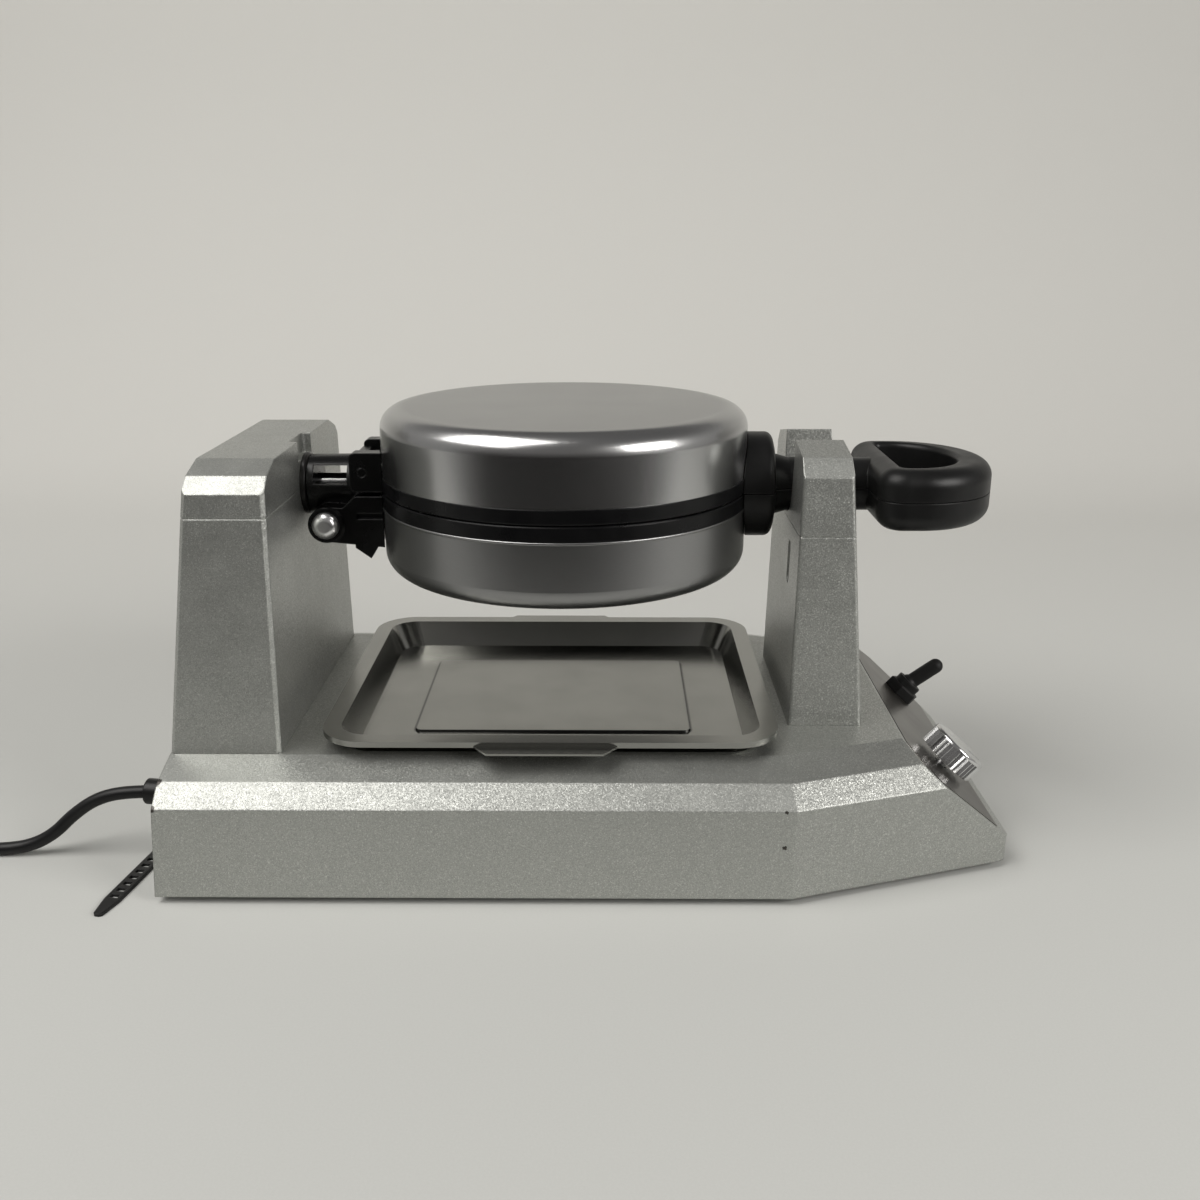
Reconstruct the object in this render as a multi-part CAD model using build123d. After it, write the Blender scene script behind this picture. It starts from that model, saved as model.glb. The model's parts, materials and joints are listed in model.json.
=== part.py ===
from build123d import *
import math
import os

# Rotary waffle maker: a round head turns over on a horizontal shaft between a rear tower and
# a forked front yoke, above a drip tray set into a painted base.
# Millimetres. +X runs along the shaft from the tower to the handle, +Z is up, and the origin is
# on the table under the middle of the base.

# Base housing
BASE_REAR = -222.0
BASE_TIP = 222.0
BASE_HALF = 124.0
TIP_HALF = 84.0
TURN_X = 101.0
FOOT_H = 4.0
FACE_TOP = 53.0
BEVEL = 10.3
SHOULDER_IN = 30.0
BASE_TOP = 69.5
TIP_TOP = 17.0
SLOPE_TOP_X = 163.5
REAR_LEAN = 4.5
TIP_ROUND = 9.0
BASE_WALL = 3.0
PLATE_T = 2.0
PLATE_GAP = 0.3

# Rubber feet and the screws of the base plate
FOOT_R = 11.0
FOOT_X = 190.0
FOOT_REAR_Y = 104.0
FOOT_FRONT_Y = 70.0
PLATE_SCREW_X = 150.0
PLATE_SCREW_Y = 88.0
BOSS_R = 6.0
BOSS_BITE = 1.0

SCREW_R = 2.0
SCREW_LEN = 14.0
SCREW_HEAD = (3.8, 2.5)
BOSS_HIGH = 25.0
BOSS_SCREW = 16.0
BOSS_HOLE = 17.0
PLATE_TOP = FOOT_H + PLATE_T

# Shaft line and round head
AXIS_Z = 191.5
HEAD_X = -16.6
HEAD_R = 100.0
HEAD_H = 44.3
SHELL_ROUND = 11.0
SHELL_T = 1.2
RING_H = 8.0
RING_R = 100.4
RING_IN = 93.5
SPLIT = 0.2
LIP_R = 100.7
LIP_T = 1.6

# Cast waffle plates
GRID_RIM = 8.0
GRID_DEPTH = 13.0
GRID_BACK = 5.0
PEG = 10.0
PEG_PITCH = 17.0
PEG_H = 10.5
PEG_TAPER = 9.0
RIB_T = 4.0
ELEMENT_D = 7.0
ELEMENT_R = 58.0
PAD_T = 10.0
RING_SCREW_R = 1.3
SHELL_SCREW_HEAD = 3.4

# Rear tower and its cap
TOWER_REAR = -217.5
TOWER_REAR_TOP = -201.5
TOWER_FRONT = -160.5
TOWER_HALF = 94.0
TOWER_HALF_TOP = 85.0
TOWER_SHOULDER_Z = 203.5
TOWER_EAVE = (77.3, 211.3)
TOWER_TOP = (61.0, 217.0)
TOWER_EDGE = 2.0
TOWER_WALL = 3.0
SEAM_CUT = 0.4
CLAMP_Y = 18.0
CLAMP_LEN = 42.0
BLOCK_LOW = 24.0
NOTCH_HALF = 15.0
NOTCH_Z = 206.0
NOTCH_DEPTH = 5.0
NOTCH_ROUND = 3.0

# Front yoke and its cap
YOKE_X0 = 105.3
YOKE_X0_TOP = 107.9
YOKE_X1 = 145.2
YOKE_X1_TOP = 134.5
YOKE_HALF = 55.7
YOKE_HALF_TOP = 51.0
YOKE_SHOULDER_Z = 205.0
YOKE_EAVE = (43.0, 214.5)
YOKE_TOP_Z = 219.0
YOKE_SLOT = 17.6
YOKE_SEAM_Z = 174.0
YOKE_EDGE = 2.0
YOKE_WALL = 3.0
FORK_Y = 33.0
FORK_SCREW = 18.0
POST_TOP_T = 5.0
POST_RIB = 3.0

# Shaft, bush and hinge casting
TUBE_X0 = -198.5
TUBE_X1 = -119.0
TUBE_R = 6.0
TUBE_BORE = 4.5
RUN_GAP = 0.05
RUN_CLEAR = 0.3
BUSH_R = 12.0
BUSH_FLANGE_R = 17.0
BUSH_FLANGE_T = 3.0
BLOCK_X = -189.0
BLOCK_HALF = 24.0
SLEEVE_R = 16.0
SLEEVE_R_HEAD = 16.5
SLEEVE_END = -129.0
WINDOW = (-153.5, -135.0)
WINDOW_Z = (194.0, 203.5)
ARM_HALF = 26.0
ARM_TOP = 189.4
ARM_BOTTOM = 161.0
BOSS_AT = (-145.0, 173.9)
ARM_FOOT_X = -111.0
ARM_INNER_X = -105.0
ARM_KNEE = (-136.0, 183.0)
TAB_AT = (-121.7, 155.0)
TAB_FOOT_X = (-130.0, -118.0)
TAB_THICK = 8.0
RELIEF_Z = (177.0, 180.0)
RELIEF_DEEP = 2.0
CROSS_BOSS_R = 9.7
CROSS_BOSS_HALF = ARM_HALF + 2.0
BOLT_R = 4.0
DOME_R = 7.4
DOME_H = 5.0

# Lid hinge
PIN_AT = (-124.5, 202.5)
PIN_R = 2.5
LUG_R = 5.2
LUG_HALF = 16.5
LUG_TOP = 209.8
LUG_CUT = 0.7
EAR_GAP = 0.5
EAR_REACH = 6.5
EAR_TOP = 213.0
EAR_ROUND = 3.0

# Handle
JOURNAL_R = 14.6
JOURNAL_GAP = 0.6
FLANGE_R = 28.8
FLANGE_X = 97.5
FLANGE_ROUND = 4.0
CONE_X = 107.0
CONE_R = 17.3
LOOP_X0 = 149.0
LOOP_X1 = 217.6
LOOP_HALF = 50.0
LOOP_H = 33.0
LOOP_CORNER = 14.0
LOOP_ROUND = 9.0
HOLE_X0 = 162.0
HOLE_X1 = 198.5
HOLE_HALF = 37.0
EYE_ROUND = 3.0
HANDLE_SCREW_Y = 14.0
HANDLE_SCREW_Z = 15.0

# Drip tray
TRAY_X0 = -141.6
TRAY_X1 = 96.6
TRAY_HALF = 100.5
TRAY_RIM_Z = 79.3
TRAY_DEPTH = 15.5
TRAY_RIM = 8.5
TRAY_DRAFT = 7.0
TRAY_CORNER = 24.0
TRAY_T = 1.0
TAB_X0 = -61.0
TAB_X1 = 13.0
TAB_OUT = 9.5
TAB_DROP = 2.0
TRAY_SKIRT = 3.0
STEP_X = (-98.0, 53.0)
STEP_HALF = 55.0
STEP_CORNER = 4.0
STEP_H = 1.2
STEP_SLOPE = 20.0
RECESS_GAP = 2.0

# Control face: positions are measured down the slope from its upper edge
PANEL_RIM = 3.0
PANEL_FOOT = 9.5
PANEL_T = 1.2
PANEL_SINK = 0.9
CONTROL_U = 38.0
KNOB_Y = -49.0
KNOB_R = 16.5
KNOB_H = 12.0
KNOB_LIFT = 3.5
KNOB_RIDGES = 36
RIDGE_CUT = 1.8
KNOB_WALL = 3.0
KNOB_HOLLOW = 5.0
KNOB_HUB_R = 6.0
CASE_R = 17.0
CASE_H = 16.0
CASE_DROP = 9.0
BRACKET = (44.0, 14.0)
SPINDLE_R = 3.0
SPINDLE_IN = 8.0
SWITCH_Y = 54.0
SWITCH_LEAN = 12.0
NUT_AF = 19.0
NUT_T = 6.5
COLLAR_R = 8.0
COLLAR_T = 4.5
BOOT_R = 4.6
LEVER_R = 1.6
LEVER_LEN = 25.0
LEVER_SHORT = 3.0
SWITCH_PIVOT = 9.0
BALL_R = 6.0
BALL_GAP = 0.3
THREAD = 0.6
FRAME = (27.0, 14.0)
FRAME_LOW = 24.0
TERMINAL = (0.8, 5.0, 7.0)
TERMINAL_PITCH = 8.0

# Power cord: it leaves the rear wall, arches down to the table and ends in a coil
CORD_D = 7.0
CORD_Y = -70.0
CORD_Z = 36.0
CORD_LEAD = [
    (-237.0, -70.0, 36.0), (-253.0, -70.0, 36.0), (-269.4, -70.8, 32.4), (-283.4, -72.0, 22.8),
    (-293.8, -73.2, 12.4), (-306.6, -74.2, 5.6), (-321.0, -75.0, 3.5), (-344.0, -75.6, 3.5),
    (-367.0, -75.6, 3.5),
]
RELIEF_NECK = 6.0
RELIEF_END = 4.1
RELIEF_COLLAR = 8.5
RELIEF_SEAT = 1.0
TIE_W = 8.6
TIE_T = 1.6
TIE_AT = (-237.1, -70.0)
TIE_TIP = (-247.0, -136.0)
TIE_LOOP_R = 5.4
TIE_BEND = 10.0
TIE_PITCH = 6.2
TIE_HOLE = (4.2, 3.2)
TIE_HOLES = 9
COIL_R = 52.0
COIL_PITCH = 9.0
COIL_HALF_TURNS = 5
COIL_TAIL = 52.0
PLUG_LEN = 34.0
PLUG_W = 26.0
BLADE = (17.0, 1.5, 6.3)
BLADE_APART = 12.7
EARTH_DROP = 11.9
EARTH_R = 2.4

SHAFT = Plane(origin=(0, 0, AXIS_Z), x_dir=(0, 1, 0), z_dir=(1, 0, 0))
SLOPE_DX = (BASE_TIP - SLOPE_TOP_X)
SLOPE_DZ = (BASE_TOP - TIP_TOP)
SLOPE_LEN = math.hypot(SLOPE_DX, SLOPE_DZ)
SLOPE = Plane(
    origin=(SLOPE_TOP_X, 0, BASE_TOP),
    x_dir=(SLOPE_DX, 0, -SLOPE_DZ),
    z_dir=(SLOPE_DZ, 0, SLOPE_DX),
)
UP = (Align.CENTER, Align.CENTER, Align.MIN)

parts = {}


def face_of(points):
    """Flat face inside a closed run of straight lines."""
    return make_face(Polyline(points, close=True))


def prism_x(points, x0, x1):
    """Outline in Y and Z, run from x0 to x1."""
    return extrude(Plane.YZ.offset(x0) * face_of(points), x1 - x0)


def prism_y(points, y0, y1):
    """Outline in X and Z, run from y0 to y1."""
    return extrude(Plane.XZ.offset(-y1) * face_of(points), y1 - y0)


def block(x0, x1, y0, y1, z0, z1):
    """Box between two corners."""
    return Pos((x0 + x1) / 2, (y0 + y1) / 2, (z0 + z1) / 2) * Box(x1 - x0, y1 - y0, z1 - z0)


def rod(start, end, radius):
    """Round bar between two points."""
    way = Vector(*end) - Vector(*start)
    return Plane(origin=start, z_dir=way) * Cylinder(radius, way.length, align=UP)


def both_sides(points):
    """Outline in Y and Z from its right half, listed upwards."""
    return [(-y, z) for y, z in points] + [(y, z) for y, z in reversed(points)]


def screw(at, way, length, radius, head_r, head_h):
    """Pan-head screw: at is the seat of its head, way points along the shank."""
    seat = Plane(origin=at, z_dir=way)
    shank = seat * Cylinder(radius, length, align=UP)
    dome = Cylinder(head_r, head_h, align=UP)
    dome = fillet(dome.edges().group_by(Axis.Z)[-1], head_h * 0.6)
    flipped = Plane(origin=at, z_dir=-Vector(*way))
    return shank + flipped * dome


# Base housing and what it stands on

def base_level(inset, z):
    """Plan outline of the base at one height, moved in by inset and run on past both ends."""
    over = BASE_TIP - BASE_REAR
    taper = (BASE_HALF - TIP_HALF) / (BASE_TIP - TURN_X)
    half = [(BASE_REAR - over, BASE_HALF), (TURN_X, BASE_HALF),
            (TURN_X + over / 2, BASE_HALF - taper * over / 2)]
    outline = half + [(x, -y) for x, y in reversed(half)]
    level = face_of(outline)
    if inset > 0:
        level = offset(level, -inset, kind=Kind.INTERSECTION)
    return Pos(0, 0, z) * level


def base_side(gap, bottom):
    """Side profile of the base, moved in by gap."""
    lean = REAR_LEAN / (BASE_TOP - FOOT_H)
    slope_shift = gap * SLOPE_LEN / SLOPE_DZ
    top = BASE_TOP - gap
    tip = BASE_TIP - gap
    slope_top = SLOPE_TOP_X - slope_shift + gap * SLOPE_DX / SLOPE_DZ
    tip_top = BASE_TOP - (tip - SLOPE_TOP_X + slope_shift) * SLOPE_DZ / SLOPE_DX
    rear_low = BASE_REAR + gap + lean * (bottom - FOOT_H)
    rear_top = BASE_REAR + gap + lean * (top - FOOT_H)
    return [(rear_low, bottom), (tip, bottom), (tip, tip_top), (slope_top, top), (rear_top, top)]


def base_form(gap, bottom):
    """The base's outside, or its hollow when gap is the wall."""
    levels = [(gap, bottom), (gap, FACE_TOP - gap / 2),
              (BEVEL + gap, FACE_TOP + BEVEL - gap / 2), (SHOULDER_IN + gap, BASE_TOP - gap)]
    form = Part()
    for (in0, z0), (in1, z1) in zip(levels, levels[1:]):
        form += loft([base_level(in0, z0), base_level(in1, z1)], ruled=True)
    return form & prism_y(base_side(gap, bottom), -BASE_HALF - 1, BASE_HALF + 1)


def tray_recess(gap):
    """Space in the base top that the drip tray sits in, grown by gap."""
    inset = TRAY_RIM + TRAY_DRAFT * 0.6 - RECESS_GAP - gap
    length = TRAY_X1 - TRAY_X0 - 2 * inset
    width = 2 * (TRAY_HALF - inset)
    floor_z = TRAY_RIM_Z - TRAY_DEPTH - gap
    outline = RectangleRounded(length, width, TRAY_CORNER - TRAY_RIM)
    middle = (TRAY_X0 + TRAY_X1) / 2
    return extrude(Pos(middle, 0, floor_z) * outline, BASE_TOP + 1 - floor_z)


def panel_face(rim, foot):
    """Outline of the control face on the slope, in the slope's own plane."""
    taper = (BASE_HALF - TIP_HALF) / (BASE_TIP - TURN_X)
    edge = []
    for inset, z in [(SHOULDER_IN, BASE_TOP), (BEVEL, FACE_TOP + BEVEL), (0, FACE_TOP),
                     (0, TIP_TOP)]:
        u = (BASE_TOP - z) * SLOPE_LEN / SLOPE_DZ
        x = SLOPE_TOP_X + (BASE_TOP - z) * SLOPE_DX / SLOPE_DZ
        edge.append((u, BASE_HALF - taper * (x - TURN_X) - inset))
    outline = edge + [(u, -y) for u, y in reversed(edge)]
    face = offset(face_of(outline), -rim, kind=Kind.INTERSECTION)
    keep = Pos(SLOPE_LEN / 2 - foot / 2, 0) * Rectangle(SLOPE_LEN - foot, 2 * BASE_HALF)
    return face & keep


def control_holes(depth, spare=0.0):
    """Bores through the control face for spindle and switch."""
    bores = SLOPE * Pos(CONTROL_U, KNOB_Y, -depth) * Cylinder(
        SPINDLE_R + 1 + spare, 2 * depth, align=UP)
    bores += SLOPE * Pos(CONTROL_U, SWITCH_Y, -depth) * Cylinder(
        COLLAR_R - THREAD + spare, 2 * depth, align=UP)
    return bores


def foot_places():
    """Middles of the four feet."""
    return [(-FOOT_X, -FOOT_REAR_Y), (-FOOT_X, FOOT_REAR_Y),
            (FOOT_X, -FOOT_FRONT_Y), (FOOT_X, FOOT_FRONT_Y)]


def plate_screw_places():
    """Middles of the screws that close the base."""
    return [(x, y) for x in (-PLATE_SCREW_X, PLATE_SCREW_X) for y in (-PLATE_SCREW_Y, PLATE_SCREW_Y)]


def make_base():
    shell = base_form(0, FOOT_H)
    tips = shell.edges().filter_by(Axis.Z).group_by(Axis.X)[-1]
    shell = fillet(tips, TIP_ROUND)
    hollow = base_form(BASE_WALL, FOOT_H - 1)
    hollow -= tray_recess(BASE_WALL)
    shell -= hollow
    shell -= tray_recess(0)
    for x, y in plate_screw_places():
        boss = Pos(x, y, PLATE_TOP) * Cylinder(BOSS_R, BASE_TOP - PLATE_TOP, align=UP)
        shell += boss & base_form(BASE_WALL / 2, PLATE_TOP)
        shell -= Pos(x, y, PLATE_TOP - 1) * Cylinder(SCREW_R, SCREW_LEN + 1, align=UP)
    shell -= SLOPE * Pos(0, 0, -PANEL_SINK) * extrude(panel_face(PANEL_RIM, PANEL_FOOT), 5)
    shell -= control_holes(8)
    for x, y in tower_screw_places() + post_screw_places():
        shell -= Pos(x, y, BASE_TOP - 2 * BASE_WALL) * Cylinder(SCREW_R, 4 * BASE_WALL)
    shell -= rod((BASE_REAR - 5, CORD_Y, CORD_Z), (BASE_REAR + 15, CORD_Y, CORD_Z), RELIEF_NECK)
    parts["base_housing"] = shell

    plate = extrude(base_level(BASE_WALL + PLATE_GAP, FOOT_H), PLATE_T)
    ends = base_side(BASE_WALL + PLATE_GAP, FOOT_H - 1)
    plate &= prism_y(ends, -BASE_HALF, BASE_HALF)
    for x, y in plate_screw_places():
        plate -= Pos(x, y, FOOT_H) * Cylinder(SCREW_R, 4 * PLATE_T)
    for x, y in foot_places():
        plate -= Pos(x, y, FOOT_H) * Cylinder(FOOT_R / 3, 4 * PLATE_T)
    parts["base_plate"] = plate

    feet = []
    screws = []
    for x, y in foot_places():
        pad = Cylinder(FOOT_R, FOOT_H, align=UP)
        pad = fillet(pad.edges().group_by(Axis.Z)[0], 1.0)
        foot = pad + Pos(0, 0, FOOT_H) * Cylinder(FOOT_R / 3, PLATE_T, align=UP)
        foot += Pos(0, 0, PLATE_TOP) * Cone(FOOT_R / 2, FOOT_R / 3, 2.5, align=UP)
        feet.append(Pos(x, y, 0) * foot)
    for x, y in plate_screw_places():
        screws.append(screw((x, y, FOOT_H), (0, 0, 1), SCREW_LEN, SCREW_R, 3.6, 2.0))
    parts["rubber_feet"] = Compound(children=feet)
    parts["base_screws"] = Compound(children=screws)


# Rear tower

def tower_form(gap, z0, z1):
    """Leaning block of the tower between two heights, moved in by gap."""
    lean_x = (TOWER_REAR_TOP - TOWER_REAR) / (TOWER_SHOULDER_Z - BASE_TOP)
    lean_y = (TOWER_HALF - TOWER_HALF_TOP) / (TOWER_SHOULDER_Z - BASE_TOP)
    low = BASE_TOP - 2 * gap
    half = [(TOWER_HALF - gap + lean_y * 2 * gap, low),
            (TOWER_HALF_TOP - gap, TOWER_SHOULDER_Z - gap / 3),
            (TOWER_EAVE[0] - gap, TOWER_EAVE[1] - gap),
            (TOWER_TOP[0] - gap, TOWER_TOP[1] - gap)]
    across = prism_x(both_sides(half), TOWER_REAR - 1, TOWER_FRONT - gap)
    top = TOWER_TOP[1]
    side = [(TOWER_REAR + gap - lean_x * 2 * gap, low), (TOWER_FRONT - gap, low),
            (TOWER_FRONT - gap, top),
            (TOWER_REAR_TOP + gap + lean_x * (top - TOWER_SHOULDER_Z), top)]
    form = across & prism_y(side, -TOWER_HALF, TOWER_HALF)
    if gap == 0:
        upright = form.edges().filter_by(lambda e: abs(e.tangent_at(0.5).Z) > 0.9)
        form = chamfer(upright, TOWER_EDGE)
    return form & block(TOWER_REAR - 9, TOWER_FRONT + 9, -TOWER_HALF, TOWER_HALF, z0, z1)


def tower_screw_places():
    inset = TOWER_WALL + BOSS_R - BOSS_BITE
    return [(x, y) for x in (TOWER_REAR + inset, TOWER_FRONT - inset) for y in (-74, 74)]


def make_tower():
    low = tower_form(0, BASE_TOP, AXIS_Z) - tower_form(TOWER_WALL, BASE_TOP - 1, AXIS_Z + 1)
    low = chamfer(low.edges().group_by(Axis.Z)[-1], SEAM_CUT)
    cap = tower_form(0, AXIS_Z, TOWER_TOP[1] + 1) - tower_form(
        TOWER_WALL, AXIS_Z - 1, TOWER_TOP[1] + 1)
    cap = chamfer(cap.edges().group_by(Axis.Z)[0], SEAM_CUT)

    inner = TOWER_FRONT - TOWER_WALL
    low += block(BLOCK_X, inner + 1, -BLOCK_HALF, BLOCK_HALF, AXIS_Z - BLOCK_LOW, AXIS_Z)
    cap += block(BLOCK_X, inner + 1, -BLOCK_HALF, BLOCK_HALF, AXIS_Z, TOWER_TOP[1] - 1)
    bore = SHAFT * Pos(0, 0, BLOCK_X - 1) * Cylinder(BUSH_R, TOWER_FRONT - BLOCK_X + 2, align=UP)
    low -= bore
    cap -= bore

    clamp_x = (BLOCK_X + inner) / 2
    clamp = []
    for y in (-CLAMP_Y, CLAMP_Y):
        at = (clamp_x, y, AXIS_Z - BLOCK_LOW)
        clamp.append(screw(at, (0, 0, 1), CLAMP_LEN, SCREW_R, *SCREW_HEAD))
        hole = Pos(clamp_x, y, AXIS_Z - BLOCK_LOW - 1) * Cylinder(SCREW_R, CLAMP_LEN + 1, align=UP)
        low -= hole
        cap -= hole
    parts["tower_cap_screws"] = Compound(children=clamp)

    notch = block(TOWER_FRONT - NOTCH_DEPTH, TOWER_FRONT + 1, -NOTCH_HALF, NOTCH_HALF,
                  NOTCH_Z, TOWER_TOP[1] + 1)
    notch = fillet(notch.edges().filter_by(Axis.Z).group_by(Axis.X)[0], NOTCH_ROUND)
    cap -= notch

    fixing = []
    for x, y in tower_screw_places():
        low += Pos(x, y, BASE_TOP) * Cylinder(BOSS_R, BOSS_HIGH, align=UP)
        low -= Pos(x, y, BASE_TOP) * Cylinder(SCREW_R, BOSS_HOLE, align=UP)
        seat = (x, y, BASE_TOP - BASE_WALL)
        fixing.append(screw(seat, (0, 0, 1), BOSS_SCREW, SCREW_R, *SCREW_HEAD))
    parts["rear_tower"] = low
    parts["rear_tower_cap"] = cap
    parts["tower_screws"] = Compound(children=fixing)

    barrel = Pos(0, 0, BLOCK_X) * Cylinder(BUSH_R, TOWER_FRONT - BLOCK_X, align=UP)
    rim = Pos(0, 0, TOWER_FRONT) * Cylinder(BUSH_FLANGE_R, BUSH_FLANGE_T, align=UP)
    rim = fillet(rim.edges().group_by(Axis.Z)[-1], 1.0)
    bush = barrel + rim
    bush -= Pos(0, 0, BLOCK_X - 1) * Cylinder(TUBE_R + RUN_GAP, 50, align=UP)
    parts["shaft_bush"] = SHAFT * bush


# Front yoke

def yoke_form(gap, z0, z1):
    """Leaning post of the yoke between two heights, moved in by gap."""
    rise = YOKE_SHOULDER_Z - BASE_TOP
    top = YOKE_TOP_Z + 1
    half = [(YOKE_HALF - gap, BASE_TOP), (YOKE_HALF_TOP - gap, YOKE_SHOULDER_Z), YOKE_EAVE,
            (YOKE_SLOT, YOKE_TOP_Z)]
    across = prism_x(both_sides(half), YOKE_X0 - 1, YOKE_X1 + 1)
    lean0 = (YOKE_X0_TOP - YOKE_X0) / rise * (top - BASE_TOP)
    lean1 = (YOKE_X1_TOP - YOKE_X1) / rise * (top - BASE_TOP)
    side = [(YOKE_X0 + gap, BASE_TOP), (YOKE_X1 - gap, BASE_TOP),
            (YOKE_X1 - gap + lean1, top), (YOKE_X0 + gap + lean0, top)]
    form = across & prism_y(side, -YOKE_HALF, YOKE_HALF)
    if gap == 0:
        upright = form.edges().filter_by(lambda e: abs(e.tangent_at(0.5).Z) > 0.9)
        form = fillet(upright, YOKE_EDGE)
    return form & block(YOKE_X0 - 9, YOKE_X1 + 9, -YOKE_HALF, YOKE_HALF, z0, z1)


def post_screw_places():
    middle = (YOKE_X0 + YOKE_X1) / 2
    return [(middle, -38), (middle, 38)]


def make_yoke():
    post = yoke_form(0, BASE_TOP, YOKE_SEAM_Z)
    post = chamfer(post.edges().group_by(Axis.Z)[-1], SEAM_CUT)
    post -= yoke_form(YOKE_WALL, BASE_TOP - 1, YOKE_SEAM_Z - POST_TOP_T)
    fork = yoke_form(0, YOKE_SEAM_Z, YOKE_TOP_Z + 1)
    fork = chamfer(fork.edges().group_by(Axis.Z)[0], SEAM_CUT)
    reach = JOURNAL_R + JOURNAL_GAP
    saddle = SHAFT * Pos(0, 0, YOKE_X0 - 1) * Cylinder(reach, 50, align=UP)
    mouth = prism_x([(-reach, AXIS_Z), (reach, AXIS_Z), (YOKE_SLOT, YOKE_TOP_Z + 1),
                     (-YOKE_SLOT, YOKE_TOP_Z + 1)], YOKE_X0 - 1, YOKE_X1 + 1)
    fork -= saddle + mouth
    mark = Plane.YZ.offset(YOKE_X0 - 1) * Pos(-20, YOKE_SEAM_Z - 22) * Rot(0, 0, 90) * \
        SlotOverall(24, 8)
    post -= extrude(mark, YOKE_X0_TOP - YOKE_X0 + 1)

    middle = (YOKE_X0 + YOKE_X1) / 2 - 4
    fork_screws = []
    for y in (-FORK_Y, FORK_Y):
        hole = Pos(middle, y, YOKE_SEAM_Z - POST_TOP_T - 1) * Cylinder(
            SCREW_R, FORK_SCREW + 2, align=UP)
        post -= hole
        fork -= hole
        seat = (middle, y, YOKE_SEAM_Z - POST_TOP_T)
        fork_screws.append(screw(seat, (0, 0, 1), FORK_SCREW, SCREW_R, *SCREW_HEAD))
    fixing = []
    for x, y in post_screw_places():
        post += Pos(x, y, BASE_TOP) * Cylinder(BOSS_R, BOSS_HIGH, align=UP)
        wall_y = math.copysign(YOKE_HALF - YOKE_WALL / 2, y)
        rib = block(x - POST_RIB / 2, x + POST_RIB / 2, min(y, wall_y), max(y, wall_y),
                    BASE_TOP, BASE_TOP + BOSS_HIGH)
        post += rib & yoke_form(0, BASE_TOP, YOKE_SEAM_Z)
        post -= Pos(x, y, BASE_TOP) * Cylinder(SCREW_R, BOSS_HOLE, align=UP)
        seat = (x, y, BASE_TOP - BASE_WALL)
        fixing.append(screw(seat, (0, 0, 1), BOSS_SCREW, SCREW_R, *SCREW_HEAD))
    parts["front_yoke"] = post
    parts["front_yoke_cap"] = fork
    parts["yoke_cap_screws"] = Compound(children=fork_screws)
    parts["yoke_screws"] = Compound(children=fixing)


# Drip tray

def tray_sheet(drop, grow):
    """Filled tray form: drop lowers it and grow widens it."""
    middle = (TRAY_X0 + TRAY_X1) / 2
    length = TRAY_X1 - TRAY_X0 - 2 * TRAY_RIM + 2 * grow
    width = 2 * (TRAY_HALF - TRAY_RIM) + 2 * grow
    mouth = RectangleRounded(length, width, TRAY_CORNER - TRAY_RIM)
    floor = RectangleRounded(length - 2 * TRAY_DRAFT, width - 2 * TRAY_DRAFT,
                             TRAY_CORNER - TRAY_RIM - 2)
    top = TRAY_RIM_Z - drop
    return loft([Pos(middle, 0, top - TRAY_DEPTH) * floor, Pos(middle, 0, top) * mouth])


def make_tray():
    middle = (TRAY_X0 + TRAY_X1) / 2
    rim = RectangleRounded(TRAY_X1 - TRAY_X0, 2 * TRAY_HALF, TRAY_CORNER)
    tray = tray_sheet(0, 0) + extrude(Pos(middle, 0, TRAY_RIM_Z - TRAY_T) * rim, TRAY_T)
    inside = tray_sheet(-TRAY_T, -TRAY_T / 2)
    tray -= inside
    skirt = extrude(Pos(middle, 0, TRAY_RIM_Z - TRAY_SKIRT) * rim, TRAY_SKIRT)
    tray += skirt - extrude(Pos(middle, 0, TRAY_RIM_Z - TRAY_SKIRT - 1) * offset(rim, -TRAY_T),
                            TRAY_SKIRT + 2)
    for side in (-1, 1):
        y0 = side * (TRAY_HALF - TRAY_T / 2)
        y1 = side * (TRAY_HALF + TAB_OUT)
        z = TRAY_RIM_Z - TRAY_T - TAB_DROP
        tab = face_of([(TAB_X0, y0), (TAB_X1, y0), (TAB_X1 - TAB_OUT * 0.8, y1),
                       (TAB_X0 + TAB_OUT * 0.8, y1)])
        tray += extrude(Pos(0, 0, z) * tab, TRAY_T)
    step = RectangleRounded(STEP_X[1] - STEP_X[0], 2 * STEP_HALF, STEP_CORNER)
    floor_z = TRAY_RIM_Z - TRAY_DEPTH + TRAY_T
    step_mid = (STEP_X[0] + STEP_X[1]) / 2
    tray += extrude(Pos(step_mid, 0, floor_z) * step, STEP_H, taper=STEP_SLOPE)
    parts["drip_tray"] = tray


# Round head: shells, rings, waffle plates and what lies behind them

def pan(radius, height, corner):
    """Closed round cap standing on its open side."""
    body = Cylinder(radius, height, align=UP)
    return fillet(body.edges().group_by(Axis.Z)[-1], corner)


def half_shell():
    """Brushed shell of one half, split plane at z = 0."""
    shell = Pos(0, 0, RING_H) * pan(HEAD_R, HEAD_H - RING_H, SHELL_ROUND)
    hollow = pan(HEAD_R - SHELL_T, HEAD_H - RING_H - 2 * SHELL_T, SHELL_ROUND - SHELL_T)
    shell -= Pos(0, 0, RING_H + SHELL_T) * hollow
    return shell - Cylinder(RING_IN, 2 * (RING_H + 2 * SHELL_T))


def half_ring():
    """Black ring between the shells: it holds the waffle plate."""
    ring = Pos(0, 0, SPLIT) * Cylinder(RING_R, RING_H - SPLIT, align=UP)
    ring = chamfer(ring.edges().group_by(Axis.Z)[0], 0.6)
    return ring - Cylinder(RING_IN, 3 * RING_H)


def ring_screw_places():
    middle = (RING_R + RING_IN) / 2
    return [(middle * math.cos(a), middle * math.sin(a))
            for a in (math.radians(45 + 90 * k) for k in range(4))]


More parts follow.
